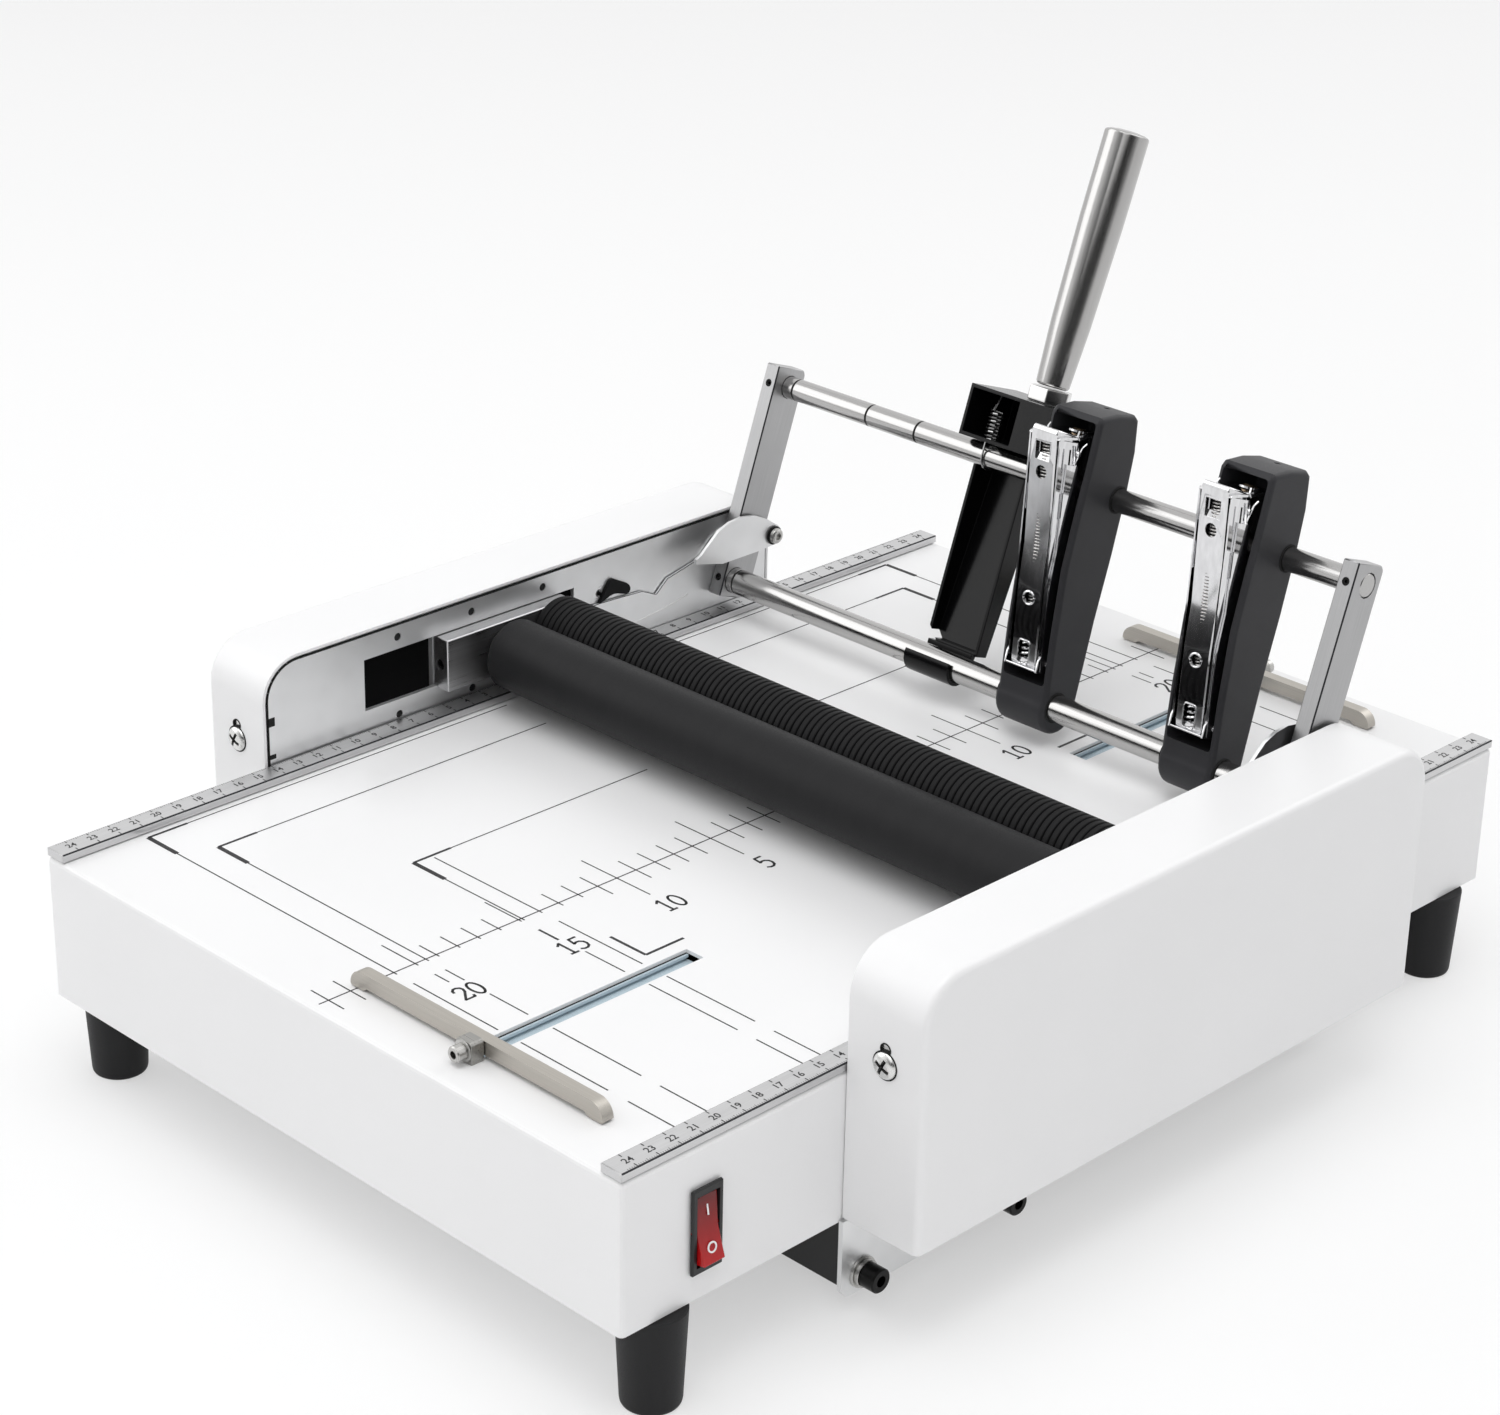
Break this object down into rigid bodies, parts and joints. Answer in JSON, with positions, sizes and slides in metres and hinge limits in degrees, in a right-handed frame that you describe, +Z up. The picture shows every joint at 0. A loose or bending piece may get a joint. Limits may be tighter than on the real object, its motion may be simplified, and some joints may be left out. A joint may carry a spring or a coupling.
{
  "type": "booklet maker",
  "caption": "Desk-top booklet maker: white deck with rulers and stops, swing frame with two staplers and a pull handle, and a pair of folding rollers on a sliding carriage.",
  "frame": {"origin": "middle of the machine's footprint on the surface it stands on", "axes": "+X to the switch side, +Y along the paper's feed from the front stop to the handle, +Z up"},
  "size_m": [0.3964, 0.4976, 0.3352],
  "materials": {
    "white_paint": "satin white paint",
    "black_paint": "gloss black paint",
    "black_plastic": "satin black",
    "rubber": "matte charcoal",
    "polished_steel": "polished",
    "satin_aluminium": "satin",
    "zinc_steel": "zinc plated",
    "chrome": "bright",
    "stop_steel": "brushed, warm grey",
    "rail_steel": "blue-grey",
    "red_plastic": "translucent red"
  },
  "bodies": {
    "base": {"deck_shell": "white_paint", "belly_tray": "black_paint", "foot_front_left": "rubber", "foot_front_right": "rubber", "foot_back_left": "rubber", "foot_back_right": "rubber", "ruler_left": "satin_aluminium", "ruler_right": "satin_aluminium", "side_plate_left": "zinc_steel", "side_plate_right": "zinc_steel", "side_cover_left": "white_paint", "side_cover_right": "white_paint", "guide_plate_left": "zinc_steel", "guide_plate_right": "zinc_steel", "ear_plate_left": "zinc_steel", "ear_plate_right": "zinc_steel", "stop_bolt_left": "polished_steel", "stop_bolt_right": "polished_steel", "front_slot_rail": "rail_steel", "back_slot_rail": "rail_steel", "switch_bezel": "black_plastic", "power_inlet": "black_plastic", "blade_motor": "zinc_steel", "staple_anvil_left": "polished_steel", "staple_anvil_right": "polished_steel"},
    "swing_frame": {"lower_rod": "polished_steel", "top_rod": "polished_steel", "frame_arm_left": "satin_aluminium", "frame_arm_right": "satin_aluminium", "crank_left": "zinc_steel", "crank_right": "zinc_steel", "stapler_shell_left": "black_plastic", "stapler_shell_right": "black_plastic", "handle_bracket": "black_paint", "bracket_spring": "polished_steel", "hex_nut": "polished_steel", "handle": "polished_steel"},
    "magazine_left": {"staple_magazine_left": "chrome"},
    "magazine_right": {"staple_magazine_right": "chrome"},
    "carriage": {"bearing_block_left": "satin_aluminium", "bearing_block_right": "satin_aluminium", "carriage_bar_left": "zinc_steel", "carriage_bar_right": "zinc_steel", "drive_motor": "zinc_steel"},
    "smooth_roller": {"smooth_roller": "rubber", "smooth_roller_gear": "zinc_steel"},
    "ribbed_roller": {"ribbed_roller": "rubber", "ribbed_roller_gear": "zinc_steel"},
    "pinion": {"drive_pinion": "zinc_steel"},
    "blade": {"fold_blade": "polished_steel"},
    "lift": {"lift_shaft": "polished_steel"},
    "front_stop": {"front_stop_bar": "stop_steel", "front_stop_clamp": "polished_steel"},
    "back_stop": {"back_stop_bar": "stop_steel", "back_stop_clamp": "polished_steel"},
    "rocker": {"switch_rocker": "red_plastic"},
    "latch": {"latch_lever": "black_plastic"}
  },
  "joints": [
    {"name": "frame_swing", "type": "hinge", "parent": "base", "child": "swing_frame", "pos_m": [0, 0.1145, 0.1159], "axis": [1, 0, 0], "range_deg": [0, 97]},
    {"name": "carriage_slide", "type": "slide", "parent": "base", "child": "carriage", "axis": [0, -1, 0], "range_m": [0, 0.0374]},
    {"name": "smooth_roller_spin", "type": "hinge", "parent": "carriage", "child": "smooth_roller", "pos_m": [0, -0.0206, 0.1212], "axis": [1, 0, 0], "continuous": true},
    {"name": "ribbed_roller_spin", "type": "hinge", "parent": "carriage", "child": "ribbed_roller", "pos_m": [0, 0.0103, 0.1212], "axis": [1, 0, 0], "continuous": true},
    {"name": "pinion_spin", "type": "hinge", "parent": "carriage", "child": "pinion", "pos_m": [0.17, -0.02693, 0.09757], "axis": [1, 0, 0], "continuous": true},
    {"name": "magazine_left_press", "type": "hinge", "parent": "swing_frame", "child": "magazine_left", "pos_m": [0.02245, 0.11351, 0.13426], "axis": [1, 0, 0], "range_deg": [-8, 0], "stiffness_Nm_per_rad": 0.6, "springref_deg": 5.73},
    {"name": "magazine_right_press", "type": "hinge", "parent": "swing_frame", "child": "magazine_right", "pos_m": [0.10916, 0.11351, 0.13426], "axis": [1, 0, 0], "range_deg": [-8, 0], "stiffness_Nm_per_rad": 0.6, "springref_deg": 5.73},
    {"name": "blade_lift", "type": "slide", "parent": "base", "child": "blade", "axis": [0, 0, 1], "range_m": [0, 0.016]},
    {"name": "lift_shaft_turn", "type": "hinge", "parent": "base", "child": "lift", "pos_m": [0, -0.04066, 0.0381], "axis": [1, 0, 0], "range_deg": [0, 31]},
    {"name": "front_stop_slide", "type": "slide", "parent": "base", "child": "front_stop", "axis": [0, 1, 0], "range_m": [0, 0.1]},
    {"name": "back_stop_slide", "type": "slide", "parent": "base", "child": "back_stop", "axis": [0, -1, 0], "range_m": [0, 0.09]},
    {"name": "switch_tip", "type": "hinge", "parent": "base", "child": "rocker", "pos_m": [0.1623, -0.2098, 0.0664], "axis": [0, 1, 0], "range_deg": [0, 20]},
    {"name": "latch_turn", "type": "hinge", "parent": "base", "child": "latch", "pos_m": [-0.1614, 0.0405, 0.1273], "axis": [1, 0, 0], "range_deg": [0, 25], "stiffness_Nm_per_rad": 0.01, "springref_deg": -5.73}
  ],
  "couplings": [
    {"joint": "carriage_slide", "follows": "frame_swing", "m_per_rad": 0.02209},
    {"joint": "ribbed_roller_spin", "follows": "smooth_roller_spin", "ratio": -1},
    {"joint": "pinion_spin", "follows": "smooth_roller_spin", "ratio": -1.7143},
    {"joint": "lift_shaft_turn", "follows": "blade_lift", "rad_per_m": 33.742}
  ]
}
